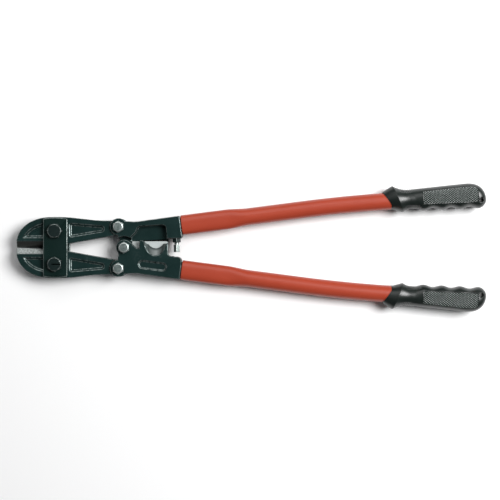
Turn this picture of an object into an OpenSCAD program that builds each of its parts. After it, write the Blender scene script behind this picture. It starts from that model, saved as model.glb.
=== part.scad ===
// Compound-action bolt cutters, lying flat and closed: nose towards -X, grips towards +X.
// The tool is symmetrical about Y = 0 apart from the lap of the two frames, the wire notch
// in the lower frame and the stop screw. All modules work from the mid-plane between the
// link plates; placed() lifts them so that the lowest point stands on Z = 0.

/* [Overall] */
// Overall length, from the nose of the jaws to the ends of the grips
length = 600; // [500:10:760]

/* [Jaws] */
// From the nose to the jaw bolts
nose_len = 50.9; // [44:0.1:58]
// From the widest place of the head back to the jaw bolts
crown_back = 2.5; // [0:0.1:5]
// Half of the width over both jaws, at the jaw bolts
head_half_w = 39.1; // [37:0.1:46]
// Thickness of a jaw
jaw_t = 12.6; // [11.5:0.1:15]
// Distance from the middle line to the outer edge of a jaw's arm, at its end
arm_half_w = 34.3; // [33.5:0.1:38]
// Half of the opening between the arms, where they leave the link plates
arm_gap = 4.8; // [3.8:0.1:6]
// Width of the ground bevel beside a cutting edge
bevel_w = 8.2; // [6:0.1:10]
// Gap left between the two cutting edges when the jaws are closed
edge_gap = 0.3; // [0.1:0.05:0.6]
// Width of the rim around the cast pockets
rim_w = 7.4; // [5:0.1:9]
// Depth of the cast pockets
pocket_depth = 1.9; // [0.5:0.1:3]

/* [Pivots] */
// Half of the distance between the two jaw bolts
jaw_bolt_y = 21.1; // [19:0.1:24]
// From the jaw bolts back to the handle pivots
jaw_arm_len = 80.3; // [72:0.1:100]
// Half of the distance between the two handle pivots
pivot_y = 26.5; // [26:0.1:29]
// From the handle pivots back to the centre bolt
centre_back = 7.2; // [4:0.1:10]
// Radius of the round ends of the frames at the handle pivots
lobe_r = 10.9; // [10:0.1:12]
// Radius of the round ends of the frames at the centre bolt
centre_lobe_r = 10.1; // [9:0.1:11.5]
// Radial clearance of a bush in its bore
run_clear = 0.05; // [0.02:0.01:0.1]
// Gap between faces that slide over each other
side_gap = 0.3; // [0.2:0.05:0.5]
// Radial room for the centre bolt in the upper frame
centre_clear = 3; // [2.5:0.1:3.2]

/* [Link plates] */
// Width of a link plate, along the tool
plate_w = 31; // [28:0.1:36]
// Thickness of a link plate
plate_t = 4.4; // [3.5:0.1:6]
// How far the ends of the plates stay inside the jaws' outline
plate_inset = 0.8; // [0.2:0.1:2]
// Radius of the curved ends of a plate
plate_end_r = 71; // [50:1:120]

/* [Frames] */
// Thickness of the forged frames
frame_t = 18; // [16:0.1:20]
// Width of the slot that holds a jaw's tang
slot_t = 10; // [8:0.1:11]
// From the handle pivots to the rear faces of the frames
frame_len = 79; // [74:0.1:100]
// Distance from the middle line to the handle's axis, at the rear face of a frame
handle_y = 28.5; // [27:0.1:33]
// From the handle's axis out to the outer edge of a frame's rear face
end_out = 12.1; // [11.5:0.1:14]
// From the handle's axis in to the inner edge of a frame's rear face
end_in = 17; // [15:0.1:18]
// Free radius around the other frame's centre lobe
lap_free_r = 14.4; // [13.5:0.1:15]

/* [Wire notch] */
// From the centre bolt back to the middle of the notch
notch_back = 39.6; // [37:0.1:42]
// Radius of the slanting groove that makes the notch
notch_r = 14.2; // [11:0.1:15]
// Slant of the groove
notch_tilt = 48; // [45:0.5:58]
// Distance from the middle line to the bottom of the notch, at the shearing plane
notch_floor = -0.5; // [-1:0.1:3]
// How far the blade reaches past the middle line
blade_reach = 2.8; // [1.5:0.1:4]
// Height of the ground strip above the floor of the recess
blade_rise = 0.6; // [0.3:0.1:1]

/* [Stop screw] */
// From the rear face of the upper frame forward to the screw
stop_in = 5.4; // [4.5:0.1:9]
// Thread diameter of the stop screw
stop_d = 6; // [5:0.5:6]
// Width across flats of the screw's head
stop_head_af = 7.8; // [7:0.1:9]
// Length of the screw's head
stop_head_h = 9.6; // [6:0.1:10]
// Free thread between the lock nut and the head
stop_neck = 2.9; // [1:0.1:3.5]
// Depth of the threaded hole in the frame
stop_hole = 13; // [8:0.5:18]

/* [Handle tubes] */
// Outer diameter of the tubes where they are round
tube_d = 21.8; // [20:0.1:25]
// Wall of the tubes
tube_wall = 1.8; // [1.2:0.1:2.5]
// Width of the tubes where they are flattened over the spigots
oval_w = 25.4; // [23:0.1:28]
// Thickness of the tubes where they are flattened
oval_t = 17.8; // [17:0.1:20]
// Length of the flattened stretch
oval_len = 58; // [48:1:70]
// Length over which the flattened stretch becomes round
oval_fade = 30; // [20:1:50]
// Angle of a handle to the middle line where it leaves the frame
splay = 7.35; // [6:0.05:9]
// Angle of a handle to the middle line at the grip
grip_angle = 2.4; // [1:0.1:5]
// Straight length before the bend
straight_len = 158; // [100:1:200]
// Radius of the bend
bend_r = 1800; // [900:50:2500]
// Gap between a frame's rear face and its tube
tube_gap = 1; // [0.5:0.1:2]
// Length of the spigots inside the tubes
spigot_len = 45; // [30:1:48]
// Clearance around a spigot in its tube
spigot_clear = 0.15; // [0.05:0.05:0.3]

/* [Grips] */
// Length of a grip along the handle
grip_len = 124.5; // [120:0.5:150]
// Thickness of a grip, top to bottom
grip_t = 32; // [30:0.2:36]
// Distance from the handle's axis to the outer side of a grip, at the neck
grip_out = 13.4; // [12.8:0.1:15]
// How much further the outer side stands at the rear end
grip_swell = 4.6; // [2:0.1:6]
// Mean distance from the handle's axis to the inner side of a grip
grip_in = 13.2; // [12.9:0.1:15]
// Height of the finger bumps, either way from the mean
bump_h = 1.3; // [0:0.1:1.5]
// Distance between finger bumps
bump_pitch = 23.5; // [20:0.5:28]
// Height of the guard over the outer side at the neck
guard_h = 5.7; // [3:0.1:8]
// Thickness of the solid rubber behind the tube's end
grip_end = 20; // [18:0.5:25]
// Clearance between a tube and its grip
grip_clear = 0.05; // [0.02:0.01:0.1]
// Diameter of the hanging hole
hang_d = 5.6; // [3:0.1:5.6]
// From the end of the grip to the middle of the hanging hole
hang_in = 7.4; // [5:0.1:8]

/* [Fasteners] */
// Diameter of the jaw bolts
jaw_bolt_d = 10; // [8:0.5:12]
// Width across flats of the jaw bolts' heads and nuts
jaw_bolt_af = 17; // [15:0.5:18]
// Height of the jaw bolts' heads
jaw_head_h = 6.4; // [5:0.1:7]
// Height of the jaw bolts' thin nuts
jaw_nut_h = 5; // [4:0.1:6]
// Outer diameter of the bushes that the jaws turn on
jaw_bush_d = 14; // [13:0.1:16]
// Diameter of the handle pivot bolts and of the centre bolt
pivot_d = 8; // [6:0.5:9]
// Width across flats of their heads and nuts
pivot_af = 13; // [11:0.5:14]
// Height of their heads
pivot_head_h = 5.3; // [4:0.1:6]
// Height of the nuts on the handle pivot bolts
pivot_nut_h = 6.5; // [5:0.1:6.8]
// Outer diameter of the bushes in the jaws' tangs
pivot_bush_d = 11; // [9.5:0.1:12]
// Thickness of the washer behind the centre bolt
washer_t = 1.6; // [1:0.1:2]
// Height of the thin nut on the centre bolt
centre_nut_h = 4; // [3:0.1:4.5]

/* [Hidden] */
$fn = 96;

cast_dark = [0.10, 0.16, 0.155];
bright_steel = [0.66, 0.68, 0.67];
black_steel = [0.09, 0.13, 0.13];
tube_red = [0.70, 0.26, 0.18];
rubber_black = [0.13, 0.15, 0.14];

// Stations along the tool
bolt_x = -length / 2 + nose_len;
pivot_x = bolt_x + jaw_arm_len;
centre_x = pivot_x + centre_back;
frame_end_x = pivot_x + frame_len;
plate_x = bolt_x + 0.1;
crown_x = bolt_x - crown_back;
plate_rear_x = plate_x + plate_w / 2;
jaw_bolt_at = [bolt_x, jaw_bolt_y];
pivot_at = [pivot_x, pivot_y];
centre_at = [centre_x, 0];

// Heights above and below the mid-plane
plate_z0 = jaw_t / 2 + side_gap;
plate_z1 = plate_z0 + plate_t;
frame_z = frame_t / 2;
lap_z = side_gap / 2;
tang_t = slot_t - 2 * side_gap;
jaw_bolt_end = 0.4;
pivot_rim = 0.42;
mid_z = max(plate_z1 + jaw_nut_h, grip_t / 2);

// Shape of the jaws
nose_exp = 2.3;
edge_flat = 0.4;
land_step = 0.8;
edge_end_x = plate_x - plate_w / 2 + 4;
arm_taper_x = bolt_x + 4;
arm_end_x = pivot_x - 15;
tang_r = lobe_r - 0.5;
slot_r = lobe_r + 0.1;
big = 60;

module placed() {
    translate([0, 0, mid_z]) children();
}

module other_side() {
    mirror([0, 1, 0]) children();
}

// A polygon whose points are [x, y, corner radius]
function unit(v) = v / norm(v);
function flat_pt(p) = [p[0], p[1]];
function corner(p, c, n, r, steps = 4) = r == 0 ? [c] :
    let (u = unit(p - c), v = unit(n - c), half = acos(u * v) / 2,
         o = c + unit(u + v) * r / sin(half),
         s = c + u * r / tan(half) - o, e = c + v * r / tan(half) - o,
         a = atan2(s[1], s[0]), turn = (atan2(e[1], e[0]) - a + 540) % 360 - 180)
    [for (i = [0 : steps]) o + r * [cos(a + turn * i / steps), sin(a + turn * i / steps)]];
function rounded(pts) = let (n = len(pts)) [for (i = [0 : n - 1])
    each corner(flat_pt(pts[(i + n - 1) % n]), flat_pt(pts[i]), flat_pt(pts[(i + 1) % n]), pts[i][2])];

// ---- Fasteners ----

// A hexagonal block with its rims turned down to a circle at the top, and also below if asked
module hex_block(af, h, both = false, rim_share = 0.475) {
    rim = af * rim_share;
    reach = af / 2 / cos(30) + 0.01;
    drop = (reach - rim) * tan(30);
    intersection() {
        cylinder(r = af / 2 / cos(30), h = h, $fn = 6);
        rotate_extrude() polygon([
            [0, 0], [both ? rim : reach, 0], [reach, both ? drop : 0],
            [reach, h - drop], [rim, h], [0, h]]);
    }
}

// A bolt with its head standing on z, and a shank that goes down by reach
module hex_bolt(d, af, head_h, reach, turn = 30, rim_share = 0.475) {
    rotate(turn) hex_block(af, head_h, rim_share = rim_share);
    translate([0, 0, -reach]) cylinder(d = d, h = reach + 1);
}

module hex_nut(d, af, h, turn = 30) {
    difference() {
        rotate(turn) hex_block(af, h, both = true);
        translate([0, 0, -1]) cylinder(d = d, h = h + 2);
    }
}

module bush(outer_d, inner_d, h) {
    translate([0, 0, -h / 2]) difference() {
        cylinder(d = outer_d, h = h);
        translate([0, 0, -1]) cylinder(d = inner_d, h = h + 2);
    }
}

module upper_jaw_bolt() {
    color(black_steel) placed() translate([bolt_x, jaw_bolt_y, plate_z1])
        hex_bolt(jaw_bolt_d, jaw_bolt_af, jaw_head_h, 2 * plate_z1 + jaw_nut_h - jaw_bolt_end, 0);
}

// The lower jaw bolt has an index groove across its head, for setting the jaws
module lower_jaw_bolt() {
    groove_w = 0.9;
    groove_depth = 0.6;
    color(black_steel) placed() translate([bolt_x, -jaw_bolt_y, plate_z1]) difference() {
        hex_bolt(jaw_bolt_d, jaw_bolt_af, jaw_head_h, 2 * plate_z1 + jaw_nut_h - jaw_bolt_end);
        translate([-3, -groove_w / 2, jaw_head_h - groove_depth])
            cube([jaw_bolt_af, groove_w, 1]);
    }
}

module jaw_nut(side) {
    color(black_steel) placed()
        translate([bolt_x, side * jaw_bolt_y, -plate_z1 - jaw_nut_h])
            hex_nut(jaw_bolt_d, jaw_bolt_af, jaw_nut_h, side > 0 ? 0 : 30);
}

module upper_jaw_nut() { jaw_nut(1); }

module lower_jaw_nut() { jaw_nut(-1); }

// The jaw bushes keep the link plates apart and are what the jaws turn on
module jaw_bush(side) {
    color(bright_steel) placed()
        translate([bolt_x, side * jaw_bolt_y, 0]) bush(jaw_bush_d, jaw_bolt_d, 2 * plate_z0);
}

module upper_jaw_bush() { jaw_bush(1); }

module lower_jaw_bush() { jaw_bush(-1); }

module pivot_bolt(side) {
    color(bright_steel) placed() translate([pivot_x, side * pivot_y, frame_z])
        hex_bolt(pivot_d, pivot_af, pivot_head_h, frame_t + pivot_nut_h - jaw_bolt_end,
            rim_share = pivot_rim);
}

module upper_pivot_bolt() { pivot_bolt(1); }

module lower_pivot_bolt() { pivot_bolt(-1); }

module pivot_nut(side) {
    color(bright_steel) placed()
        translate([pivot_x, side * pivot_y, -frame_z - pivot_nut_h])
            hex_nut(pivot_d, pivot_af, pivot_nut_h);
}

module upper_pivot_nut() { pivot_nut(1); }

module lower_pivot_nut() { pivot_nut(-1); }

module pivot_bush(side) {
    color(bright_steel) placed()
        translate([pivot_x, side * pivot_y, 0]) bush(pivot_bush_d, pivot_d, slot_t);
}

module upper_pivot_bush() { pivot_bush(1); }

module lower_pivot_bush() { pivot_bush(-1); }

centre_back_z = frame_z + side_gap + washer_t + centre_nut_h;

module centre_bolt() {
    color(bright_steel) placed() translate([centre_x, 0, frame_z])
        hex_bolt(pivot_d, pivot_af, pivot_head_h, frame_z + centre_back_z - jaw_bolt_end,
            rim_share = pivot_rim);
}

// Wide enough to cover the clearance hole wherever the bolt stands in it
module centre_washer() {
    color(bright_steel) placed() translate([centre_x, 0, -frame_z - side_gap - washer_t / 2])
        bush(2 * centre_lobe_r, pivot_d, washer_t);
}

module centre_nut() {
    color(bright_steel) placed() translate([centre_x, 0, -centre_back_z])
        hex_nut(pivot_d, pivot_af, centre_nut_h);
}

// ---- Jaws ----

// A quarter of a rounded nose: |x/a|^e + |y/b|^e = 1, from the tip to the side
function nose_arc(a, b, step) = [for (t = [0 : step : 90])
    [crown_x - a * pow(cos(t), 2 / nose_exp), b * pow(sin(t), 2 / nose_exp)]];
function ease(t) = t * t * (3 - 2 * t);
function arm_outer(x) = head_half_w - (head_half_w - arm_half_w)
    * ease(min(1, max(0, (x - arm_taper_x) / (arm_end_x - arm_taper_x))));
arm_run = pivot_at - [plate_rear_x, arm_gap];
arm_splay = atan2(arm_run[1], arm_run[0]) - asin((tang_r - 0.4) / norm(arm_run));
function arm_inner(x) = arm_gap + (x - plate_rear_x) * tan(arm_splay);

module jaw_outline() {
    heel_y = edge_gap / 2 + 3;
    difference() {
        polygon(concat(
            nose_arc(nose_len - crown_back, head_half_w, 6),
            [for (i = [0 : 8]) let (x = arm_taper_x + (arm_end_x - arm_taper_x) * i / 8)
                [x, arm_outer(x)]],
            [[pivot_x, arm_outer(pivot_x)], [pivot_x, arm_inner(pivot_x)],
             [plate_rear_x, arm_gap], [plate_rear_x - 5, heel_y],
             [edge_end_x + 2, heel_y], [edge_end_x, 0]]));
        translate([bolt_x - 2 * nose_len, edge_gap / 2 - big]) square([3 * nose_len, big]);
    }
}

module nose_pocket() {
    boss_r = jaw_bush_d / 2 + 4;
    land_w = 4.4;
    intersection() {
        polygon(concat(nose_arc(nose_len - crown_back - rim_w, head_half_w - rim_w, 9), [[crown_x, 0]]));
        translate([bolt_x - nose_len, bevel_w + land_w])
            square([nose_len - boss_r, head_half_w]);
    }
}

module arm_pocket() {
    x0 = plate_rear_x + 1.8;
    x1 = pivot_x - 19;
    polygon(rounded([
        [x0, arm_inner(x0) + rim_w + 0.6, 2.4],
        [x1, arm_inner(x1) + rim_w, 3],
        [x1 + 0.6, arm_outer(x1) - rim_w + 0.4, 3],
        [x0, arm_outer(x0) - rim_w, 2.4]]));
}

// The forged blank of a jaw with its cast pockets, bevelled edge and stepped-down rear end
module jaw_blank() {
    half = jaw_t / 2;
    difference() {
        translate([0, 0, -half]) linear_extrude(jaw_t) jaw_outline();
        for (flip = [0, 1]) mirror([0, 0, flip]) {
            translate([0, 0, half - pocket_depth]) linear_extrude(big) {
                nose_pocket();
                arm_pocket();
            }
            translate([edge_end_x, 0, 0]) rotate([90, 0, -90])
                linear_extrude(2 * nose_len) polygon([
                    [-edge_gap / 2 + 1, edge_flat - 0.6], [-edge_gap / 2, edge_flat],
                    [-bevel_w, half - land_step], [-bevel_w, big], [1, big]]);
            translate([pivot_x, pivot_y, tang_t / 2]) cylinder(r = lobe_r + 0.6, h = big);
        }
    }
}

// One jaw, for the +Y side: blank, round tang and the two bores
module jaw() {
    difference() {
        union() {
            jaw_blank();
            translate([pivot_x, pivot_y, -tang_t / 2]) cylinder(r = tang_r, h = tang_t);
        }
        translate([bolt_x, jaw_bolt_y, -big]) cylinder(d = jaw_bush_d + 2 * run_clear, h = 2 * big);
        translate([pivot_x, pivot_y, -big]) cylinder(d = pivot_bush_d + 2 * run_clear, h = 2 * big);
    }
}

module upper_jaw() {
    color(cast_dark) placed() jaw();
}

module lower_jaw() {
    color(cast_dark) placed() other_side() jaw();
}

// ---- Link plates ----

module link_plate() {
    plate_half_h = head_half_w - plate_inset;
    linear_extrude(plate_t) difference() {
        intersection() {
            polygon(rounded([
                [plate_x - plate_w / 2, -plate_half_h, 3], [plate_x + plate_w / 2, -plate_half_h, 3],
                [plate_x + plate_w / 2, plate_half_h, 3], [plate_x - plate_w / 2, plate_half_h, 3]]));
            for (side = [-1, 1]) intersection() {
                translate([plate_x, side * (plate_half_h - plate_end_r)]) circle(plate_end_r, $fn = 240);
                translate([plate_x, side * (plate_end_r - plate_half_h)]) circle(plate_end_r, $fn = 240);
            }
        }
        for (side = [-1, 1]) translate([bolt_x, side * jaw_bolt_y]) circle(d = jaw_bolt_d);
    }
}

module front_link_plate() {
    color(cast_dark) placed() translate([0, 0, plate_z0]) link_plate();
}

module back_link_plate() {
    color(cast_dark) placed() translate([0, 0, -plate_z1]) link_plate();
}

// ---- Frames ----

along = [cos(splay), sin(splay)];
across = [-sin(splay), cos(splay)];
handle_at = [frame_end_x, handle_y];
rear_out = handle_at + end_out * across;
rear_in = handle_at - end_in * across;
block_x = frame_end_x - 16.8;
block_y = rear_in[1];

// Everything between the outer edge and the inner edge of the rear block, for the +Y side
module frame_body(corner_r) {
    waist_x = pivot_x + 22;
    polygon(rounded([
        [pivot_x - 0.8, pivot_y + 2, 0], [pivot_x - 0.8, block_y - 1, 0],
        [centre_x + 9, block_y - 1, 0], [block_x, block_y, 0],
        [rear_in[0], rear_in[1], corner_r], [rear_out[0], rear_out[1], 1.2],
        [waist_x + 12, pivot_y + 8.1, 30], [waist_x, pivot_y + 6.4, 40],
        [pivot_x + 3, pivot_y + 7.4, 0]]));
}

// The recess that one frame has in front and the other behind, open towards the middle line
module recess_outline() {
    top_y = pivot_y + 1.3;
    polygon(rounded([
        [centre_x + 8.2, block_y - 12, 0], [centre_x + 8.2, block_y + 1.7, 1.5],
        [centre_x + 14.5, block_y + 8, 4], [centre_x + 17.7, top_y - 0.7, 4],
        [block_x - 2, top_y + 1.5, 4.5], [block_x + 0.1, block_y - 12, 0]]));
}

// The centre lobe and the web that joins it to the pivot lobe
module lap_outline() {
    tangent = 50;
    touch = centre_at + centre_lobe_r * [cos(tangent), -sin(tangent)];
    translate(centre_at) circle(centre_lobe_r);
    polygon(rounded([
        [centre_x - 8, 6.2, 0], [centre_x - 6.9, block_y - 1.2, 6],
        [pivot_x - 0.8, pivot_y - lobe_r + 0.5, 0], [pivot_x, pivot_y, 0],
        [centre_x + 18, pivot_y - 5, 0], [centre_x + 16.5, 1.5, 0.8],
        [touch[0], touch[1], 0], [centre_x, 0, 0]]));
}

// The block that the wire notch is cut in, with a horn at each side of the notch
module notch_outline() {
    x0 = centre_x + notch_back - 20.3;
    x1 = centre_x + notch_back + 16;
    polygon(rounded([
        [x0 - 4, 0.6, 0], [x0, 1.4, 0.8], [x0 + 0.2, -9.2, 1.2], [x0 + 4.2, -9.2, 1.2],
        [x0 + 9.5, -4.6, 0], [x1 - 6.5, -5.4, 1], [x1, -5.4, 1.2], [x1, block_y - 1, 4],
        [x1 + 8, block_y - 0.6, 0], [x1, pivot_y + 3, 0], [x0 - 4, pivot_y - 2, 0]]));
}

module blade_outline() {
    translate([centre_x + 4, -blade_reach])
        square([block_x - 0.2 - centre_x - 4, blade_reach + pivot_y]);
}

// What both frames share, for the +Y side: the plain half-thick layer beside the lap
module open_layer(corner_r) {
    difference() {
        union() {
            frame_body(corner_r);
            translate(pivot_at) circle(lobe_r);
        }
        recess_outline();
        translate(centre_at) circle(lap_free_r);
    }
}

module lap_layer(corner_r) {
    frame_body(corner_r);
    translate(pivot_at) circle(lobe_r);
    lap_outline();
    children();
}

// The slot for the jaw's tang, the pivot bore, and the free space for the tang to turn
module fork_cuts() {
    translate([pivot_x, pivot_y, -slot_t / 2]) cylinder(r = slot_r, h = slot_t);
    translate([pivot_x, pivot_y, -big]) cylinder(d = pivot_d, h = 2 * big);
}

spigot_w = oval_w - 2 * tube_wall - 2 * spigot_clear;
spigot_t = oval_t - 2 * tube_wall - 2 * spigot_clear;
spigot_side = 0.93;

// The flat-sided tongue that the handle tube is pushed on to
module spigot() {
    round_d = spigot_t;
    flat_w = spigot_w * spigot_side - round_d;
    translate([handle_at[0], handle_at[1], 0]) rotate(splay) rotate([90, 0, 90])
        translate([0, 0, -1]) linear_extrude(spigot_len + 1) {
            square([flat_w, spigot_t], center = true);
            for (side = [-1, 1]) translate([side * flat_w / 2, 0]) circle(d = round_d);
        }
}

// Upper frame: lap and wire blade in the back layer, recess in the front layer
module upper_frame() {
    inner_r = 2.5;
    color(cast_dark) placed() difference() {
        union() {
            linear_extrude(frame_z) open_layer(inner_r);
            translate([0, 0, -frame_z]) linear_extrude(frame_z - lap_z)
                lap_layer(inner_r) blade_outline();
            translate([0, 0, -1]) linear_extrude(1.5) open_layer(inner_r);
            spigot();
        }
        fork_cuts();
        translate([0, 0, -lap_z - blade_rise]) linear_extrude(blade_rise + lap_z) intersection() {
            recess_outline();
            translate([centre_x, 8.3]) square(big);
        }
        translate([centre_x, 0, -big]) cylinder(d = pivot_d + 2 * centre_clear, h = 2 * big);
        translate([frame_end_x - stop_in, block_y - 5, 0]) rotate([-90, 0, 0])
            cylinder(d = stop_d, h = stop_hole + 5);
    }
}

// Lower frame: lap and wire notch in the front layer, recess in the back layer
module lower_frame() {
    inner_r = 6;
    color(cast_dark) placed() difference() {
        other_side() difference() {
            union() {
                translate([0, 0, -frame_z]) linear_extrude(frame_z) open_layer(inner_r);
                translate([0, 0, lap_z]) linear_extrude(frame_z - lap_z)
                    lap_layer(inner_r) notch_outline();
                translate([0, 0, -0.5]) linear_extrude(1.5) open_layer(inner_r);
                spigot();
            }
            fork_cuts();
        }
        translate([centre_x, 0, -big]) cylinder(d = pivot_d, h = 2 * big);
        notch_groove();
        badge_recess();
    }
}

// The slanting groove: it guides the wire down to the shearing plane behind it
module notch_groove() {
    translate([centre_x + notch_back, notch_floor + notch_r / cos(notch_tilt), lap_z])
        rotate([notch_tilt, 0, 0]) cylinder(r = notch_r, h = 120, center = true);
}

// A plain round-ended recess along the lower frame's outer edge
module badge_recess() {
    badge_len = 36;
    badge_w = 10.4;
    badge_depth = 1.2;
    translate([centre_x + 36, -pivot_y + 3.4, frame_z - badge_depth]) rotate(-splay)
        linear_extrude(big) {
            square([badge_len - badge_w, badge_w], center = true);
            for (side = [-1, 1]) translate([side * (badge_len - badge_w) / 2, 0]) circle(d = badge_w);
        }
}

// ---- Stop screw ----

stop_nut_h = 5;
stop_nut_af = 10;
stop_x = frame_end_x - stop_in;

module stop_screw() {
    color(black_steel) placed() translate([stop_x, block_y, 0]) rotate([90, 0, 0]) {
        translate([0, 0, -stop_hole + 1]) cylinder(d = stop_d, h = stop_hole + stop_nut_h + stop_neck);
        translate([0, 0, stop_nut_h + stop_neck]) rotate(30) hex_block(stop_head_af, stop_head_h);
    }
}

module stop_lock_nut() {
    color(black_steel) placed() translate([stop_x, block_y, 0]) rotate([90, 0, 0])
        hex_nut(stop_d, stop_nut_af, stop_nut_h);
}

// ---- Handle tubes and grips ----

bend_len = bend_r * (splay - grip_angle) * PI / 180;
function heading(s) = max(grip_angle, splay - max(0, s - straight_len) / bend_r * 180 / PI);
function route(s) = s <= straight_len ? handle_at + s * along
    : s <= straight_len + bend_len
        ? route(straight_len) + bend_r * [sin(splay) - sin(heading(s)), cos(heading(s)) - cos(splay)]
        : route(straight_len + bend_len)
            + (s - straight_len - bend_len) * [cos(grip_angle), sin(grip_angle)];
handle_len = straight_len + bend_len
    + (length / 2 - route(straight_len + bend_len)[0]) / cos(grip_angle);
grip_start = handle_len - grip_len;
tube_end = handle_len - grip_end;

sides = 24;
function powered(v, e) = sign(v) * pow(abs(v), 2 / e);

// A ring across the handle: top and bottom are its reach from the axis, half is half its
// thickness, e is 2 for an ellipse and more for a squarer shape, lean slants it
function ring(s, top, bottom, half, e, lean = 0) =
    let (h = heading(s), p = route(s), mid = (top + bottom) / 2, reach = (top - bottom) / 2)
    [for (i = [0 : sides - 1]) let (a = 360 * i / sides,
        v = mid + reach * powered(sin(a), e), w = half * powered(cos(a), e))
        [p[0] - v * sin(h) - v * lean * cos(h), p[1] + v * cos(h) - v * lean * sin(h), w]];

// A skin over rings in order; closed joins the last ring to the first, else both ends are capped
module skin(rings, closed = false) {
    n = len(rings);
    last = closed ? n - 1 : n - 2;
    walls = [for (i = [0 : last]) for (j = [0 : sides - 1])
        [i * sides + j, i * sides + (j + 1) % sides,
         ((i + 1) % n) * sides + (j + 1) % sides, ((i + 1) % n) * sides + j]];
    caps = closed ? [] : [
        [for (j = [sides - 1 : -1 : 0]) j], [for (j = [0 : sides - 1]) (n - 1) * sides + j]];
    polyhedron(points = [for (r = rings) each r], faces = concat(walls, caps), convexity = 6);
}

function oval_mix(s) = ease(min(1, max(0, (s - oval_len) / oval_fade)));
function tube_ring(s, grow) = let (m = oval_mix(s),
    reach = (oval_w * (1 - m) + tube_d * m) / 2 + grow,
    half = (oval_t * (1 - m) + tube_d * m) / 2 + grow)
    ring(s, reach, -reach, half, 2.6 - 0.6 * m);
tube_stations = concat([tube_gap, oval_len], [for (i = [1 : 5]) oval_len + oval_fade * i / 5],
    [straight_len], [for (i = [1 : 6]) straight_len + bend_len * i / 6], [tube_end]);

module tube() {
    n = len(tube_stations);
    skin(concat(
        [for (s = tube_stations) tube_ring(s, 0)],
        [for (i = [n - 1 : -1 : 0]) tube_ring(tube_stations[i], -tube_wall)]), closed = true);
}

module upper_tube() {
    color(tube_red) placed() tube();
}

module lower_tube() {
    color(tube_red) placed() other_side() tube();
}

// The grip's sides, by the distance u from its front edge: a slanting guard, a neck,
// a swelling palm with finger bumps inside, and a rounded end whose tip is set inwards
guard_u = 12.4;
neck_u = 27;
palm_u = grip_len - 24.5;
tip_v = -4.6;
lip = 0.8;
hang_wall = grip_t * 0.735;
hang_at = route(handle_len - hang_in) + tip_v * [-sin(grip_angle), cos(grip_angle)];
function fall(u) = pow(max(0, (neck_u - u) / (neck_u - guard_u)), 2);
function dome(u, from, e) = u <= from ? 1
    : pow(max(0, 1 - pow((u - from) / (grip_len - from), e)), 1 / e);
function grip_top(u) = let (front = tube_d / 2 + lip,
    side = grip_out + grip_swell * min(1, max(0, (u - 31) / (palm_u - 31))),
    v = u < guard_u ? front + (grip_out + guard_h - front) * u / guard_u
        : side + guard_h * fall(u))
    tip_v + (v - tip_v) * dome(u, palm_u + 1, 2.4);
function grip_bottom(u) = let (front = tube_d / 2 + lip, bump_u = grip_len - 9 - 3 * bump_pitch,
    side = u < bump_u - bump_pitch / 2 ? grip_in - bump_h
        : grip_in + bump_h * cos(360 * (u - bump_u) / bump_pitch),
    v = u < guard_u ? front + (grip_in - bump_h + guard_h * 0.6 - front) * u / guard_u
        : side + guard_h * 0.6 * fall(u))
    tip_v - (v + tip_v) * dome(u, grip_len - 10.5, 2.6);
function grip_half(u) = let (front = tube_d / 2 + lip, neck = grip_t / 2 - 2.5)
    (u < guard_u ? front + (grip_t / 2 - front) * u / guard_u
        : neck + (grip_t / 2 - neck) * max(fall(u), ease(min(1, max(0, (u - 32) / 24)))))
    * (0.15 + 0.85 * dome(u, palm_u + 8, 2.6));
function grip_lean(u) = u < guard_u ? 0.6 - 0.27 * u / guard_u
    : 0.33 * (1 - ease(min(1, (u - guard_u) / 26)));
function grip_ring(u) = ring(grip_start + u, grip_top(u), grip_bottom(u), grip_half(u),
    2 + 0.3 * ease(min(1, max(0, (u - 30) / 20))), grip_lean(u));

grip_stations = concat(
    [0, 4, 8, guard_u, 14.5, 17, 19.5, neck_u, 28, 33],
    [for (i = [1 : 20]) 33 + (palm_u - 33) * i / 20],
    [for (t = [12 : 12 : 84]) palm_u + (grip_len - palm_u) * sin(t)], [grip_len - 0.02]);

// Rubber cup: up the inside from the solid end to the front edge, then back over the outside
module grip() {
    bore_stations = [for (s = [grip_start + 0.001 : (tube_end - grip_start) / 8 : tube_end + 0.002]) s];
    n = len(bore_stations);
    bore_lean = [for (i = [0 : n - 1]) i == 0 ? grip_lean(0) : 0];
    difference() {
        skin(concat(
            [for (i = [n - 1 : -1 : 0]) let (r = tube_d / 2 + grip_clear)
                ring(bore_stations[i], r, -r, r, 2, bore_lean[i])],
            [for (u = grip_stations) grip_ring(u)]));
        translate([hang_at[0], hang_at[1], -big]) cylinder(d = hang_d, h = 2 * big);
        for (flip = [0, 1]) mirror([0, 0, flip]) translate([hang_at[0], hang_at[1], hang_wall / 2])
            cylinder(d = hang_d + 2.4, h = big);
    }
}

module upper_grip() {
    color(rubber_black) placed() grip();
}

module lower_grip() {
    color(rubber_black) placed() other_side() grip();
}

upper_jaw();
lower_jaw();
front_link_plate();
back_link_plate();
upper_jaw_bolt();
lower_jaw_bolt();
upper_jaw_nut();
lower_jaw_nut();
upper_jaw_bush();
lower_jaw_bush();
upper_frame();
lower_frame();
upper_pivot_bolt();
lower_pivot_bolt();
upper_pivot_nut();
lower_pivot_nut();
upper_pivot_bush();
lower_pivot_bush();
centre_bolt();
centre_washer();
centre_nut();
stop_screw();
stop_lock_nut();
upper_tube();
lower_tube();
upper_grip();
lower_grip();
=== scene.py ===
from math import cos, pi, radians, sin

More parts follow.
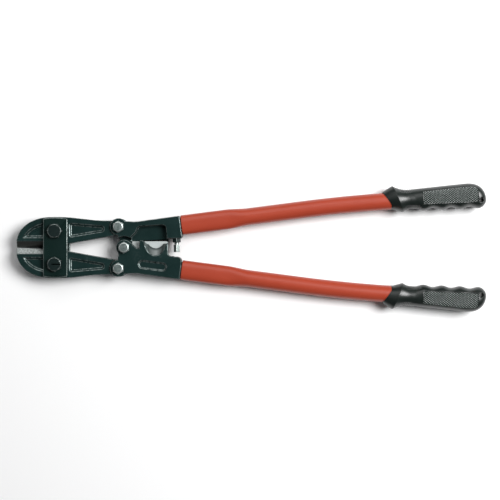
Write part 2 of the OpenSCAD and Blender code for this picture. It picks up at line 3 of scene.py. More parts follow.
import bmesh
import bpy
import numpy as np
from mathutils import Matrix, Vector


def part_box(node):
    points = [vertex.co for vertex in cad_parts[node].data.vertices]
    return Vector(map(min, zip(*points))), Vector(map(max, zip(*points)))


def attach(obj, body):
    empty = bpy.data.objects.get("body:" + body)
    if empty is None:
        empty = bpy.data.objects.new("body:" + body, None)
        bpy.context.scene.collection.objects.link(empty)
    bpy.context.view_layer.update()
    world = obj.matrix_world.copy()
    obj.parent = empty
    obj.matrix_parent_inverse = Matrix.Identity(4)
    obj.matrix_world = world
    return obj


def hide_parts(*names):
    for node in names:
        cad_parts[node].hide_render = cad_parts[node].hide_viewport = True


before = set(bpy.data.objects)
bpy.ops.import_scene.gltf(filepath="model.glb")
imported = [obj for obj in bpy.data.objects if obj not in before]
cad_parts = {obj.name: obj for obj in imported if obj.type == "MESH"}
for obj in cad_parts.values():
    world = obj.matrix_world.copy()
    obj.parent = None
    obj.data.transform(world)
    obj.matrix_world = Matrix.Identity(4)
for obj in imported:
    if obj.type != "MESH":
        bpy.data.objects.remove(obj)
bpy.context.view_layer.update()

mm = 0.001


# ---- Forged jaws ----
# Two drop-forged steel jaws, painted green-black, with cast pockets and a thin rear tang each.
# The two cutting edges are ground after painting; the lower one is bright, and the upper one is
# the same steel painted darker, as painted shade, since it faces away from the light. Each jaw
# turns on a bush.

def middle(node):
    """The centre of a node's box, in metres."""
    low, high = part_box(node)
    return (np.array(low) + np.array(high)) / 2


mid_z = middle("upper_frame")[2]


def from_solid(node, name, body, edge, finishes, shape=None):
    """The node's exact solid with its triangles joined into whole faces, shaped further if asked,
    and every sharp edge broken by a round of the width edge, or less where a face is narrow. The
    rounds take the second finish."""
    sharp, share_of_face = radians(26), 0.45
    solid = bmesh.new()
    solid.from_mesh(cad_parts[node].data)
    bmesh.ops.remove_doubles(solid, verts=solid.verts, dist=0.002 * mm)
    bmesh.ops.dissolve_limit(solid, angle_limit=radians(0.5), verts=solid.verts, edges=solid.edges)
    if shape:
        shape(solid)
    weight = solid.edges.layers.float.new("bevel_weight_edge")
    for e in solid.edges:
        if len(e.link_faces) == 2 and e.calc_face_angle() > sharp:
            start = e.verts[0].co
            run = (e.verts[1].co - start).normalized()
            room = min(max((v.co - start).cross(run).length for v in f.verts) for f in e.link_faces)
            e[weight] = min(1, share_of_face * room / edge)
    mesh = bpy.data.meshes.new(name)
    solid.to_mesh(mesh)
    solid.free()
    piece = bpy.data.objects.new(name, mesh)
    bpy.context.scene.collection.objects.link(piece)
    for finish in finishes:
        mesh.materials.append(finish)
    mesh.shade_smooth()
    mesh.set_sharp_from_angle(angle=radians(24))
    rounds = piece.modifiers.new("broken edges", "BEVEL")
    rounds.width = edge
    rounds.segments = 3
    rounds.limit_method = "WEIGHT"
    rounds.use_clamp_overlap = False
    rounds.harden_normals = True
    rounds.material = 1
    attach(piece, body)
    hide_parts(node)
    return piece


def draft(solid, floor_z, rim_z, slope):
    """Gives the pockets whose flat floor lies at floor_z, in front or behind, drafted walls: the
    floor shrinks by slope all round, and its old outline rises to the rim."""
    for sign in (1, -1):
        level = mid_z + sign * floor_z
        floors = [f for f in solid.faces if abs(f.calc_center_median().z - level) < 0.02 * mm
                  and abs(f.normal.z) > 0.99]
        walls = bmesh.ops.inset_region(solid, faces=floors, thickness=slope,
                                       use_even_offset=True)["faces"]
        inside = {v for f in floors for v in f.verts}
        for v in {v for f in walls for v in f.verts} - inside:
            v.co.z = mid_z + sign * rim_z
    bmesh.ops.remove_doubles(solid, verts=solid.verts, dist=0.002 * mm)
    bmesh.ops.dissolve_degenerate(solid, edges=solid.edges, dist=0.001 * mm)


def face_facts(piece):
    """Centres and normals of all faces of a piece, as two arrays."""
    faces = piece.data.polygons
    centres, normals = np.empty(3 * len(faces)), np.empty(3 * len(faces))
    faces.foreach_get("center", centres)
    faces.foreach_get("normal", normals)
    return centres.reshape(-1, 3), normals.reshape(-1, 3)


def give(piece, chosen, slot_number):
    """Sets the finish of the chosen faces, a mask over all of them."""
    faces = piece.data.polygons
    numbers = np.zeros(len(faces), dtype=np.int32)
    faces.foreach_get("material_index", numbers)
    numbers[chosen] = slot_number
    faces.foreach_set("material_index", numbers)


class Finish:
    """A named material with a few short ways to add nodes. Patterns read object coordinates."""

    def __init__(self, name, colour, metal, rough):
        self.material = bpy.data.materials.new(name)
        self.material.use_nodes = True
        self.tree = self.material.node_tree
        self.shader = self.tree.nodes["Principled BSDF"]
        self.shader.inputs["Base Color"].default_value = (*colour, 1)
        self.shader.inputs["Metallic"].default_value = metal
        self.shader.inputs["Roughness"].default_value = rough
        self.place = self.add("ShaderNodeTexCoord").outputs["Object"]
        self.normal = None

    def add(self, kind, **settings):
        """A new node of a kind, with its settings."""
        node = self.tree.nodes.new(kind)
        for key, value in settings.items():
            setattr(node, key, value)
        return node

    def link(self, source, target):
        """Joins an output to an input."""
        self.tree.links.new(source, target)

    def noise(self, per_mm, detail=3.0, rough=0.55, stretch=(1, 1, 1)):
        """Cloudy values about 0.5; per_mm is how many blobs there are in a millimetre."""
        mapping = self.add("ShaderNodeMapping")
        mapping.inputs["Scale"].default_value = [s * per_mm / mm for s in stretch]
        node = self.add("ShaderNodeTexNoise")
        node.inputs["Scale"].default_value = 1
        node.inputs["Detail"].default_value = detail
        node.inputs["Roughness"].default_value = rough
        self.link(self.place, mapping.inputs["Vector"])
        self.link(mapping.outputs["Vector"], node.inputs["Vector"])
        return node.outputs["Fac"]

    def spread(self, value, low, high, to_low, to_high):
        """Takes a value from low..high on to to_low..to_high, held at the ends."""
        node = self.add("ShaderNodeMapRange")
        for socket, number in zip(("From Min", "From Max", "To Min", "To Max"),
                                  (low, high, to_low, to_high)):
            node.inputs[socket].default_value = number
        self.link(value, node.inputs["Value"])
        return node.outputs["Result"]

    def mix(self, share, first, second):
        """A colour that goes from first to second with share. Each is a colour or a socket."""
        node = self.add("ShaderNodeMix", data_type="RGBA")
        self.link(share, node.inputs["Factor"])
        for socket, colour in ((node.inputs[6], first), (node.inputs[7], second)):
            if isinstance(colour, tuple):
                socket.default_value = (*colour, 1)
            else:
                self.link(colour, socket)
        return node.outputs[2]

    def times(self, a, b):
        """The product of two values."""
        node = self.add("ShaderNodeMath", operation="MULTIPLY")
        self.link(a, node.inputs[0])
        self.link(b, node.inputs[1])
        return node.outputs[0]

    def colour(self, socket):
        """Takes the paint or metal colour from a socket."""
        self.link(socket, self.shader.inputs["Base Color"])

    def roughness(self, socket):
        """Takes the roughness from a socket."""
        self.link(socket, self.shader.inputs["Roughness"])

    def bump(self, height, depth_mm, strength=1.0):
        """Adds relief of the given depth on top of what is already there."""
        node = self.add("ShaderNodeBump")
        node.inputs["Distance"].default_value = depth_mm * mm
        node.inputs["Strength"].default_value = strength
        self.link(height, node.inputs["Height"])
        if self.normal:
            self.link(self.normal, node.inputs["Normal"])
        self.normal = node.outputs["Normal"]
        self.link(self.normal, self.shader.inputs["Normal"])


def painted_forging(name, dark, light, worn_share):
    """Thin satin paint over a scaly forged skin; worn_share of it is rubbed through to steel."""
    paint = Finish(name, dark, 0.0, 0.42)
    paint.shader.inputs["Specular IOR Level"].default_value = 0.1
    blotches = paint.noise(0.05, detail=5)
    scale = paint.noise(0.9, detail=4, rough=0.6)
    rub = paint.spread(paint.times(paint.noise(0.35, detail=6, rough=0.7), blotches),
                       0.34 - 0.2 * worn_share, 0.40 - 0.2 * worn_share, 0, worn_share)
    paint.colour(paint.mix(rub, paint.mix(paint.spread(blotches, 0.3, 0.7, 0, 1), dark, light),
                           (0.20, 0.22, 0.21)))
    paint.roughness(paint.spread(scale, 0.3, 0.7, 0.30, 0.42))
    paint.bump(scale, 0.05, 0.7)
    paint.bump(paint.noise(0.16, detail=2), 0.25, 0.5)
    return paint.material


jaw_paint = painted_forging("green_black_paint", (0.006, 0.018, 0.017), (0.010, 0.027, 0.026), 0.05)
# The rounds along every edge are lighter steel: partly paint rubbed through, partly painted
# highlight
edge_wear_and_highlight = Finish("paint_rubbed_and_painted_highlight", (0.12, 0.15, 0.145), 0.75, 0.30)
patches = edge_wear_and_highlight.noise(0.3, detail=5, rough=0.65)
edge_wear_and_highlight.colour(edge_wear_and_highlight.mix(edge_wear_and_highlight.spread(patches, 0.38, 0.58, 0, 1),
                                   (0.022, 0.036, 0.034), (0.16, 0.195, 0.19)))
edge_wear_and_highlight.roughness(edge_wear_and_highlight.spread(patches, 0.3, 0.7, 0.40, 0.28))
jaw_rounds = edge_wear_and_highlight.material

ground = Finish("ground_edge_steel", (0.5, 0.52, 0.51), 0.4, 0.45)
stripes = ground.noise(0.05, detail=5, rough=0.75, stretch=(60, 1.5, 1.5))
mottle = ground.noise(0.45, detail=3, rough=0.6)
ground.colour(ground.mix(ground.spread(mottle, 0.40, 0.60, 0, 1), (0.26, 0.29, 0.28),
                         ground.mix(stripes, (0.40, 0.44, 0.43), (0.62, 0.66, 0.65))))
ground.roughness(ground.spread(mottle, 0.3, 0.7, 0.52, 0.40))
ground.bump(stripes, 0.02, 0.6)
ground.bump(mottle, 0.06, 0.6)

# Painted shade: the upper jaw's ground edge is the same steel as the lower one, coloured darker
shaded_bevel = Finish("ground_edge_painted_shade", (0.12, 0.125, 0.118), 0.9, 0.34)
shaded_bevel_stripes = shaded_bevel.noise(0.05, detail=5, rough=0.75, stretch=(60, 1.5, 1.5))
shaded_bevel.colour(shaded_bevel.mix(shaded_bevel_stripes, (0.06, 0.066, 0.060), (0.16, 0.165, 0.155)))
shaded_bevel.bump(shaded_bevel_stripes, 0.02, 0.6)

bevel_reach = 8.6 * mm
jaw_half = 6.3 * mm
pocket_depth = 1.9 * mm
pocket_slope = 2.2 * mm
edge_flat = 0.5 * mm
ground_end_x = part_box("front_link_plate")[0][0] + 5 * mm
for side, body in (("upper", "upper_jaw"), ("lower", "lower_jaw")):
    jaw = from_solid(f"{side}_jaw", f"{side}_jaw_forging", body, 0.7 * mm,
                     [jaw_paint, jaw_rounds, (shaded_bevel if side == "upper" else ground).material],
                     lambda solid: draft(solid, jaw_half - pocket_depth, jaw_half, pocket_slope))
    centres, normals = face_facts(jaw)
    sloped = (np.abs(normals[:, 1]) > 0.3) & (np.abs(normals[:, 2]) > 0.3)
    facing = np.abs(normals[:, 1]) > 0.95
    edge_zone = (np.abs(centres[:, 1]) < bevel_reach) & (centres[:, 0] < ground_end_x)
    give(jaw, edge_zone & (sloped | (facing & (np.abs(centres[:, 1]) < edge_flat))), 2)


# ---- Link plates ----
# Two punched steel plates, front and back, with softly rounded rims and the same dark paint.
# The jaw bolts clamp them against the ends of the bushes.

plate_paint = painted_forging("plate_paint", (0.004, 0.014, 0.012), (0.008, 0.020, 0.018), 0.03)
# The rims are lighter steel: partly rubbed, partly painted highlight
plate_rim = Finish("plate_rim_wear_and_painted_highlight", (0.14, 0.17, 0.165), 0.85, 0.30)
plate_rim.colour(plate_rim.mix(plate_rim.spread(plate_rim.noise(0.12, detail=5), 0.35, 0.6, 0, 1),
                               (0.07, 0.095, 0.09), (0.22, 0.26, 0.25)))
for where in ("front", "back"):
    from_solid(f"{where}_link_plate", f"{where}_link_plate_punched", "head",
               1.1 * mm, [plate_paint, plate_rim.material])


# ---- Jaw bolts and bushes ----
# Blackened hexagon bolts and thin nuts through the plates, and two bright turned bushes that
# the jaws swing on. The lower bolt has an index groove across its head.

black = Finish("black_oxide_steel", (0.010, 0.019, 0.018), 0.2, 0.36)
black.shader.inputs["Specular IOR Level"].default_value = 0.25
black_cloud = black.noise(0.25, detail=4)
black.colour(black.mix(black_cloud, (0.004, 0.011, 0.011), (0.010, 0.020, 0.019)))
black.roughness(black.spread(black.noise(1.5), 0.3, 0.7, 0.30, 0.44))
black.bump(black.noise(2.0, detail=3), 0.02, 0.5)

# The bolts' and nuts' rounds are lighter steel: partly rubbed, partly painted highlight
black_rounds_wear_and_highlight = Finish("black_oxide_wear_and_painted_highlight", (0.16, 0.18, 0.175), 0.8, 0.34)
black_rounds_wear_and_highlight.colour(black_rounds_wear_and_highlight.mix(black_rounds_wear_and_highlight.spread(black_rounds_wear_and_highlight.noise(0.5, detail=5), 0.4, 0.6, 0, 1),
                                 (0.06, 0.08, 0.075), (0.34, 0.38, 0.37)))

turned = Finish("turned_steel", (0.45, 0.46, 0.45), 1.0, 0.3)
turned.bump(turned.noise(0.2, detail=3, stretch=(1, 1, 30)), 0.01, 0.5)


def refinish(node, finish):
    """Gives a finish to a CAD node that stays as it is."""
    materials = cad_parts[node].data.materials
    materials.clear()
    materials.append(finish.material)


for side in ("upper", "lower"):
    for part in ("bolt", "nut"):
        from_solid(f"{side}_jaw_{part}", f"{side}_jaw_{part}_black", "head",
                   0.3 * mm, [black.material, black_rounds_wear_and_highlight.material])
    refinish(f"{side}_jaw_bush", turned)


# ---- Forged frames ----
# The two drop-forged handle ends lap over each other at the centre bolt. The lower one carries
# the wire notch, ground bright, and the upper one the shear blade that closes behind it.

frame_paint = painted_forging("frame_paint", (0.006, 0.018, 0.017), (0.010, 0.025, 0.024), 0.04)
notch_radius = 14.2 * mm
notch_tilt = radians(48)
notch_back = 39.6 * mm
notch_floor = -0.5 * mm
lap_gap = 0.15 * mm
blade_lead = 9.4 * mm
frame_half, badge_floor, badge_slope = 9 * mm, 7.8 * mm, 1.1 * mm

sheared = Finish("sheared_blade_steel", (0.5, 0.54, 0.53), 0.45, 0.5)
sheared_lines = sheared.noise(0.05, detail=5, rough=0.75, stretch=(2, 40, 2))
sheared.colour(sheared.mix(sheared_lines, (0.44, 0.49, 0.48), (0.62, 0.66, 0.65)))
sheared.roughness(sheared.spread(sheared_lines, 0.3, 0.7, 0.42, 0.58))
sheared.bump(sheared_lines, 0.02, 0.5)

# The groove's colour brightens towards its middle along the tool, up to just past the notch's
# centre, and darkens again behind it; low down, near the shear plane where it narrows, it is
# painted dark as painted shade
notch_x = middle("centre_washer")[0] + notch_back
brightest_x, bright_half_width = notch_x + 1 * mm, 9 * mm
shade_low, shade_high = mid_z + 0.6 * mm, mid_z + 4 * mm
milled = Finish("milled_notch_steel", (0.34, 0.38, 0.37), 0.6, 0.42)
milled_lines = milled.noise(0.06, detail=4, rough=0.7, stretch=(30, 2, 2))
axes = milled.add("ShaderNodeSeparateXYZ")
milled.link(milled.place, axes.inputs[0])
middle_brightness = milled.times(milled.spread(axes.outputs["X"], notch_x - bright_half_width, brightest_x, 0, 1),
                            milled.spread(axes.outputs["X"], brightest_x, notch_x + bright_half_width, 1, 0))
# Painted shade: darker towards the shear plane at the bottom of the groove
painted_shade_share = milled.spread(axes.outputs["Z"], shade_low, shade_high, 0, 1)
milled.colour(milled.mix(painted_shade_share, (0.03, 0.045, 0.043),
                         milled.mix(middle_brightness, (0.07, 0.09, 0.088), (0.46, 0.50, 0.49))))
milled.roughness(milled.spread(milled_lines, 0.3, 0.7, 0.34, 0.50))
milled.bump(milled_lines, 0.03, 0.6)

blade_from = middle("centre_washer")[0] + blade_lead


def split_blade(solid):
    """Splits the blade's flat face across the tool, so that only its rear part is ground."""
    faces = [f for f in solid.faces if f.normal.z > 0.9
             and abs(f.calc_center_median().z - mid_z + lap_gap) < 0.05 * mm]
    edges, corners = {e for f in faces for e in f.edges}, {v for f in faces for v in f.verts}
    parts = faces + list(edges) + list(corners)
    bmesh.ops.bisect_plane(solid, geom=parts, plane_co=(blade_from, 0, 0), plane_no=(1, 0, 0),
                           dist=0.001 * mm)


for side in ("upper", "lower"):
    forging = from_solid(f"{side}_frame", f"{side}_frame_forging", f"{side}_handle",
                         0.8 * mm,
                         [frame_paint, jaw_rounds, milled.material, sheared.material],
                         split_blade if side == "upper" else
                         lambda solid: draft(solid, badge_floor, frame_half, badge_slope))
    centres, normals = face_facts(forging)
    if side == "lower":
        start = np.array([notch_x,
                          notch_floor + notch_radius / cos(notch_tilt), mid_z + lap_gap])
        run = np.array([0, -sin(notch_tilt), cos(notch_tilt)])
        off = centres - start
        distance = np.linalg.norm(off - np.outer(off @ run, run), axis=1)
        inward = np.einsum("ij,ij->i", normals, off) < 0
        give(forging, (np.abs(distance - notch_radius) < 0.3 * mm) & inward
             & (centres[:, 2] > mid_z), 2)
    else:
        blade = (np.abs(centres[:, 2] - mid_z + lap_gap) < 0.05 * mm) & (normals[:, 2] > 0.9)
        give(forging, blade & (centres[:, 0] > blade_from), 3)


# ---- Pivot bolts, centre bolt and stop screw ----
# Zinc-plated hexagon bolts, nuts and a washer join the frames and the jaws' tangs; the stop
# screw is phosphated and its lock nut blackened.

zinc = Finish("zinc_plate", (0.20, 0.24, 0.23), 0.8, 0.38)
zinc_cloud = zinc.noise(0.3, detail=5, rough=0.65)
zinc.colour(zinc.mix(zinc.spread(zinc_cloud, 0.35, 0.65, 0, 1),
                     (0.17, 0.22, 0.21), (0.34, 0.40, 0.39)))
zinc.roughness(zinc.spread(zinc.noise(0.8, detail=4), 0.3, 0.7, 0.30, 0.44))
zinc.bump(zinc.noise(1.4, detail=3), 0.03, 0.6)

# The rounds of the zinc parts and stop screw are near white: partly rubbed, partly painted
# highlight
zinc_rounds = Finish("zinc_rounds_wear_and_painted_highlight", (0.72, 0.76, 0.74), 0.8, 0.28)
zinc_rounds.roughness(zinc_rounds.spread(zinc_rounds.noise(0.8, detail=4), 0.3, 0.7, 0.26, 0.42))

for side in ("upper", "lower"):
    for part in ("bolt", "nut"):
        from_solid(f"{side}_pivot_{part}", f"{side}_pivot_{part}_zinc", f"{side}_handle",
                   0.3 * mm, [zinc.material, zinc_rounds.material])
    refinish(f"{side}_pivot_bush", turned)
for part in ("bolt", "nut", "washer"):
    from_solid(f"centre_{part}", f"centre_{part}_zinc", "lower_handle",
               0.3 * mm, [zinc.material, zinc_rounds.material])

phosphated = Finish("phosphated_screw", (0.16, 0.19, 0.18), 0.8, 0.30)
phosphated.roughness(phosphated.spread(phosphated.noise(1.0, detail=4), 0.3, 0.7, 0.24, 0.38))
from_solid("stop_screw", "stop_screw_phosphated", "upper_handle", 0.3 * mm,
           [phosphated.material, zinc_rounds.material])
from_solid("stop_lock_nut", "stop_lock_nut_black", "upper_handle", 0.25 * mm,
           [black.material, black_rounds_wear_and_highlight.material])


# ---- Handle tubes ----
# Welded steel tubes, flattened at the front over the frames' spigots, bent slightly inwards
# half-way along, and coated with a glossy orange-red enamel that pools a little.

pivot_x = middle("upper_pivot_bush")[0] / mm
frame_len, handle_y, half_length = 79, 28.5, 300
handle_start = np.array([pivot_x + frame_len, handle_y])
splay, grip_angle = radians(7.35), radians(2.4)
straight_len, bend_r = 158.0, 1800.0
bend_len = bend_r * (splay - grip_angle)


def handle_axis(s):
    """Where the handle's axis is, in mm, and which way it heads, at the run s from the frame:
    straight, then an arc of the radius bend_r, then straight again."""
    s = np.asarray(s, dtype=float)
    in_bend = np.clip(s - straight_len, 0, bend_len)
    turned_to = splay - in_bend / bend_r
    first = np.minimum(s, straight_len)
    last = np.maximum(s - straight_len - bend_len, 0)
    x = (handle_start[0] + first * cos(splay) + bend_r * (sin(splay) - np.sin(turned_to))
         + last * cos(grip_angle))
    y = (handle_start[1] + first * sin(splay) + bend_r * (np.cos(turned_to) - cos(splay))
         + last * sin(grip_angle))
    return x, y, turned_to


bend_end_x = handle_axis(straight_len + bend_len)[0]
handle_len = straight_len + bend_len + (half_length - bend_end_x) / cos(grip_angle)
grip_end_wall = 20
tube_end = handle_len - grip_end_wall
tube_r, wall = 10.9, 1.8
oval_w, oval_t, oval_len, oval_fade = 12.7, 8.9, 58.0, 30.0


def smooth_step(t):
    """0 below 0, 1 above 1, and 3t^2 - 2t^3 between."""
    t = np.clip(t, 0, 1)
    return t * t * (3 - 2 * t)


def powered(v, e):
    """The sign of v times its size to the power 2 / e, for a superellipse of exponent e."""
    return np.sign(v) * np.abs(v) ** (2 / e)


def grid_piece(name, points, side, wrap_rings=False, poles=(False, False)):
    """A smooth mesh over a grid of points: rings one after another, each closed on itself. With
    wrap_rings the last ring joins the first; a pole closes an end on one point. Points are
    in mm about the mid-plane, and side is 1 for the upper handle and -1 for the lower."""
    rings, around = points.shape[:2]
    points = points * np.array([1, side, 1]) * mm + np.array([0, 0, mid_z])
    verts = points.reshape(-1, 3)
    i = np.arange(rings if wrap_rings else rings - 1)[:, None]
    j = np.arange(around)[None, :]
    k, l = (i + 1) % rings, (j + 1) % around
    quads = np.stack(np.broadcast_arrays(i * around + j, i * around + l,
                                         k * around + l, k * around + j), axis=-1)
    quads = quads.reshape(-1, 4)
    faces = (quads if side > 0 else quads[:, ::-1]).tolist()
    for at_end, pole in enumerate(poles):
        if pole:
            ring = (rings - 1 if at_end else 0) * around + np.arange(around)
            verts = np.vstack([verts, verts[ring].mean(axis=0)])
            tip = np.full(around, len(verts) - 1)
            fan = np.stack([ring, np.roll(ring, -1), tip], axis=-1)
            if (at_end == 0) != (side < 0):
                fan = fan[:, ::-1]
            faces += fan.tolist()
    mesh = bpy.data.meshes.new(name)
    mesh.from_pydata(verts.tolist(), [], faces)
    mesh.shade_smooth()
    mesh.set_sharp_from_angle(angle=radians(45))
    piece = bpy.data.objects.new(name, mesh)
    bpy.context.scene.collection.objects.link(piece)
    return piece


def on_handle(s, v, w, lean=0.0):
    """Points at the run s, v out from the axis in the tool's plane and w above it, in mm. A
    lean moves a point back along the axis by that share of v."""
    x, y, heading = handle_axis(s)
    return np.stack(np.broadcast_arrays(
        x - v * np.sin(heading) - v * lean * np.cos(heading),
        y + v * np.cos(heading) - v * lean * np.sin(heading), w), axis=-1)


def tube_skin(s, inset):
    """Superellipse sections from a flattened to a round one; inset brings the wall inwards."""
    round_share = smooth_step((s - oval_len) / oval_fade)
    a = np.linspace(0, 2 * pi, 96, endpoint=False)[None, :]
    e = 2.6 - 0.6 * round_share
    reach = oval_w + (tube_r - oval_w) * round_share - inset
    half = oval_t + (tube_r - oval_t) * round_share - inset
    return on_handle(s, reach * powered(np.sin(a), e), half * powered(np.cos(a), e))


enamel = Finish("orange_red_enamel", (0.42, 0.058, 0.026), 0.0, 0.34)
enamel.shader.inputs["Specular IOR Level"].default_value = 0.25
tone = enamel.noise(0.02, detail=4)
enamel.colour(enamel.mix(tone, (0.32, 0.041, 0.019), (0.385, 0.055, 0.026)))
enamel.shader.inputs["Coat Weight"].default_value = 0.25
enamel.shader.inputs["Coat Roughness"].default_value = 0.2
enamel.roughness(enamel.spread(enamel.noise(0.4, detail=4), 0.3, 0.7, 0.32, 0.46))
enamel.bump(enamel.noise(0.28, detail=2), 0.05, 0.55)
enamel.bump(enamel.noise(0.06, detail=2, stretch=(0.3, 1, 1)), 0.15, 0.35)

tube_run = np.concatenate([[1.0, 1.15, 1.5], np.linspace(2, tube_end - 1, 150), [tube_end]])
tube_run = tube_run[:, None]
end_round = np.array([0.5, 0.2, 0.05])[:, None]
for side, name in ((1, "upper"), (-1, "lower")):
    outer = tube_skin(tube_run, 0)
    outer[:3] = tube_skin(tube_run[:3], end_round)
    inner = tube_skin(tube_run[::-8], wall)
    tube = grid_piece(f"{name}_tube_enamelled", np.concatenate([outer, inner]), side,
                      wrap_rings=True)
    tube.data.materials.append(enamel.material)
    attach(tube, f"{name}_handle")
    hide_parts(f"{name}_tube")


# ---- Rubber grips ----
# Black rubber cups moulded on to the tubes: a slanting guard in front, a ribbed neck, a palm
# with finger bumps inside and a diamond-knurled panel, and a hanging hole near the end.

grip_len, grip_half_t = 124.5, 16.0
grip_out, grip_swell, grip_in = 13.4, 4.6, 13.2
bump_h, bump_pitch, guard_h = 1.3, 23.5, 5.7
guard_u, neck_u, palm_u = 12.4, 27.0, grip_len - 24.5
swell_u = 31
tip_v, lip = -4.6, 0.8
front = tube_r + lip
grip_start = handle_len - grip_len


def fall(u):
    """1 at the guard's ridge, falling as a parabola to 0 at the neck."""
    return np.clip((neck_u - u) / (neck_u - guard_u), 0, 1) ** 2


def dome(u, start, e):
    """1 up to start, then a quarter of a superellipse down to 0 at the grip's end."""
    t = np.clip((u - start) / (grip_len - start), 0, 1)
    return (1 - t ** e) ** (1 / e)


def outer_side(u):
    """From the tube's lip straight up to the guard, down its parabola, then a slow swell to the
    palm's end and a quarter superellipse towards the tip."""
    side = grip_out + grip_swell * np.clip((u - swell_u) / (palm_u - swell_u), 0, 1)
    v = np.where(u < guard_u, front + (grip_out + guard_h - front) * u / guard_u,
                 side + guard_h * fall(u))
    return tip_v + (v - tip_v) * dome(u, palm_u + 1, 2.4)


def inner_side(u):
    """The same on the inner side, with a guard of 0.6 of the height and cosine finger bumps, the
    last of them 9 mm before the end; negative, because it lies below the axis."""
    bump_u = grip_len - 9 - 3 * bump_pitch
    side = np.where(u < bump_u - bump_pitch / 2, grip_in - bump_h,
                    grip_in + bump_h * np.cos(2 * pi * (u - bump_u) / bump_pitch))
    v = np.where(u < guard_u, front + (grip_in - bump_h + guard_h * 0.6 - front) * u / guard_u,
                 side + guard_h * 0.6 * fall(u))
    return tip_v - (v + tip_v) * dome(u, grip_len - 10.5, 2.6)


def half_thickness(u):
    """Up from the lip to the guard, down to a neck 2.5 mm thinner, up again over 24 mm, then a
    quarter superellipse down to 0.15 of itself."""
    neck = grip_half_t - 2.5
    palm = neck + (grip_half_t - neck) * np.maximum(fall(u), smooth_step((u - 32) / 24))
    t = np.where(u < guard_u, front + (grip_half_t - front) * u / guard_u, palm)
    return t * (0.15 + 0.85 * dome(u, palm_u + 8, 2.6))


def slant(u):
    """How far the rings lean back: 0.6 in front, 0.33 at the guard, easing to 0 over 26 mm."""
    return np.where(u < guard_u, 0.6 - 0.27 * u / guard_u,
                    0.33 * (1 - smooth_step((u - guard_u) / 26)))


def triangle(t):
    """A wave of straight ramps between 0 and 1, with its peaks at whole numbers and a half."""
    return 1 - np.abs(2 * (t - np.floor(t)) - 1)


around = 256
a = np.linspace(0, 2 * pi, around, endpoint=False)[None, :]
u = np.concatenate([np.linspace(0, guard_u, 24)[:-1], np.linspace(guard_u, 44, 100),
                    np.linspace(44.4, 112, 168),
                    grip_len - (grip_len - 112.4) * np.linspace(1, 0.01, 40) ** 2])[:, None]
top, bottom, half = outer_side(u), inner_side(u), half_thickness(u)
section_e = 2 + 0.3 * smooth_step((u - 30) / 20)
v = (top + bottom) / 2 + (top - bottom) / 2 * powered(np.sin(a), section_e)
w = half * powered(np.cos(a), section_e)

# The knurled panel on both faces, and fine ribs on both sides of the neck
flatness = smooth_step((np.abs(np.cos(a)) - 0.30) / 0.10)
panel = (smooth_step((u - 43) / 1.2) * smooth_step((113 - u) / 1.2)
         * smooth_step((top - 4.4 - v) / 1.0) * smooth_step((v + 7.2) / 1.0) * flatness)
knurl_depth, rib_height, rib_pitch = 1.1, 0.8, 1.9
diamonds = np.minimum(triangle(u / 3.5 + v / 2.7), triangle(u / 3.5 - v / 2.7))
knurl = panel * knurl_depth * (diamonds - 1)
behind_guard = smooth_step((u - 18) / 2)
on_outer = smooth_step((np.sin(a) - 0.55) / 0.2) * behind_guard * smooth_step((31 - u) / 2)
on_inner = smooth_step((-np.sin(a) - 0.55) / 0.2) * behind_guard * smooth_step((41 - u) / 2)
ribs = (on_outer + on_inner) * rib_height * (triangle(u / rib_pitch) - 0.8)
relief = knurl + ribs

skin = on_handle(grip_start + u, v, w, slant(u))
along = np.gradient(skin, axis=0)
across = np.roll(skin, -1, axis=1) - np.roll(skin, 1, axis=1)
outward = np.cross(across, along)
outward /= np.linalg.norm(outward, axis=-1, keepdims=True) + 1e-9
outward *= np.sign(np.einsum("ijk,ijk->ij", outward,
                             skin - skin.mean(axis=1, keepdims=True)))[..., None]
skin += outward * relief[..., None]

bore_s = np.linspace(tube_end + 0.002, grip_start + 3, 6)[:, None]
bore_r = tube_r + 0.05
bore = on_handle(bore_s, bore_r * np.sin(a), bore_r * np.cos(a))
mouth = on_handle(np.array([[grip_start]]), bore_r * np.sin(a), bore_r * np.cos(a),
                  slant(np.array([[0.0]])))
grip_points = np.concatenate([bore, mouth, skin])
# Painted glints: the tips of the knurl's diamonds are coloured lighter through this attribute
knurl_glint = np.concatenate([np.zeros((len(bore) + len(mouth), around)), panel * diamonds])

rubber = Finish("black_moulded_rubber", (0.012, 0.017, 0.015), 0.0, 0.42)
glint_share = rubber.add("ShaderNodeAttribute", attribute_name="knurl_glint").outputs["Fac"]
dust = rubber.noise(0.06, detail=5)
dark = rubber.mix(dust, (0.005, 0.008, 0.007), (0.010, 0.015, 0.013))
rubber.colour(rubber.mix(rubber.spread(glint_share, 0.42, 0.75, 0, 1), dark, (0.33, 0.38, 0.36)))
rubber.roughness(rubber.spread(rubber.noise(1.2, detail=4), 0.3, 0.7, 0.27, 0.36))
rubber.bump(rubber.noise(1.6, detail=3), 0.03, 0.6)

hang_wall, hang_r, hang_in, well_r, lip_round = 11.76, 2.8, 7.4, 4, 0.3
hang_x, hang_y, _ = handle_axis(handle_len - hang_in)
hang_x, hang_y = hang_x - tip_v * sin(grip_angle), hang_y + tip_v * cos(grip_angle)


def spool(side):
    """A cutter for the hanging hole: a thin cylinder with a wider one at each end."""
    half = [(hang_r, hang_wall - lip_round), (hang_r + lip_round, hang_wall),
            (well_r - lip_round, hang_wall), (well_r, hang_wall + lip_round), (well_r, 20)]
    profile = np.array([(r, -z) for r, z in half[::-1]] + half)
    turn = np.linspace(0, 2 * pi, 48, endpoint=False)[None, :]
    r, z = profile[:, :1], profile[:, 1:]
    ring = np.stack(np.broadcast_arrays(hang_x + r * np.cos(turn), hang_y + r * np.sin(turn), z),
                    axis=-1)
    return grid_piece("hole_cutter", ring, side, poles=(True, True))


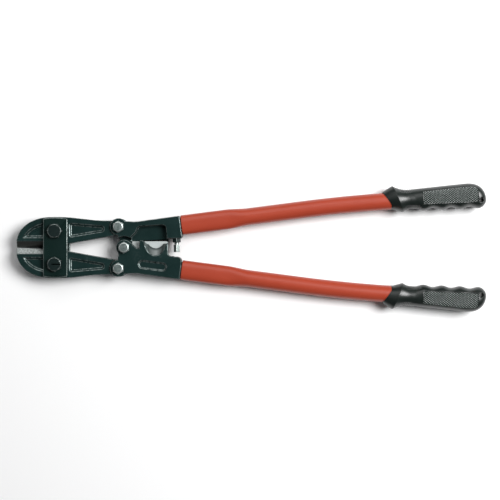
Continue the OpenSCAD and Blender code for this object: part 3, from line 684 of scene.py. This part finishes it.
for side, name in ((1, "upper"), (-1, "lower")):
    grip = grid_piece(f"{name}_grip_rubber", grip_points, side, poles=(True, True))
    attribute = grip.data.attributes.new("knurl_glint", "FLOAT", "POINT")
    attribute.data.foreach_set("value", np.concatenate([knurl_glint.ravel(), [0, 0]]))
    grip.data.materials.append(rubber.material)
    cutter = spool(side)
    cut = grip.modifiers.new("hanging hole", "BOOLEAN")
    cut.object = cutter
    cut.solver = "EXACT"
    evaluated = grip.evaluated_get(bpy.context.evaluated_depsgraph_get())
    shaped = bpy.data.meshes.new_from_object(evaluated)
    grip.modifiers.clear()
    grip.data = shaped
    bpy.data.objects.remove(cutter)
    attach(grip, f"{name}_handle")
    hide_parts(f"{name}_grip")


# ---- Floor, lights and camera ----
# A pale floor, three large soft lights high on the right, the far side and the left, and a
# camera straight above the tool.

floor_mesh = bpy.data.meshes.new("floor")
floor_half = 8.0
corners = [(x * floor_half, y * floor_half, 0) for x, y in ((-1, -1), (1, -1), (1, 1), (-1, 1))]
floor_mesh.from_pydata(corners, [], [(0, 1, 2, 3)])
floor = bpy.data.objects.new("floor", floor_mesh)
bpy.context.scene.collection.objects.link(floor)
floor_mesh.materials.append(Finish("pale_floor", (0.93, 0.93, 0.93), 0.0, 0.9).material)

world = bpy.data.worlds.new("studio")
bpy.context.scene.world = world
world.use_nodes = True
world.node_tree.nodes["Background"].inputs["Color"].default_value = (0.95, 0.97, 1.0, 1)
world.node_tree.nodes["Background"].inputs["Strength"].default_value = 0.07
bpy.context.scene.view_settings.view_transform = "Standard"


def soft_light(name, place, size, power):
    """A square area light of the given width that looks at the middle of the tool."""
    lamp = bpy.data.lights.new(name, "AREA")
    lamp.size = size
    lamp.energy = power
    light = bpy.data.objects.new(name, lamp)
    bpy.context.scene.collection.objects.link(light)
    light.location = place
    direction = -light.location
    light.rotation_mode = "QUATERNION"
    light.rotation_quaternion = direction.to_track_quat("-Z", "Y")


soft_light("right", (1.3, 0.45, 1.7), 1.1, 66)
soft_light("far side", (-0.3, 1.5, 1.8), 1.6, 15)
soft_light("left", (-1.8, 0.3, 2.2), 1.4, 4)

lens = bpy.data.cameras.new("camera")
camera = bpy.data.objects.new("camera", lens)
bpy.context.scene.collection.objects.link(camera)
lens.lens = 70.2
camera.location = (-0.0013, -0.0031, mid_z + 1.25)
bpy.context.scene.camera = camera
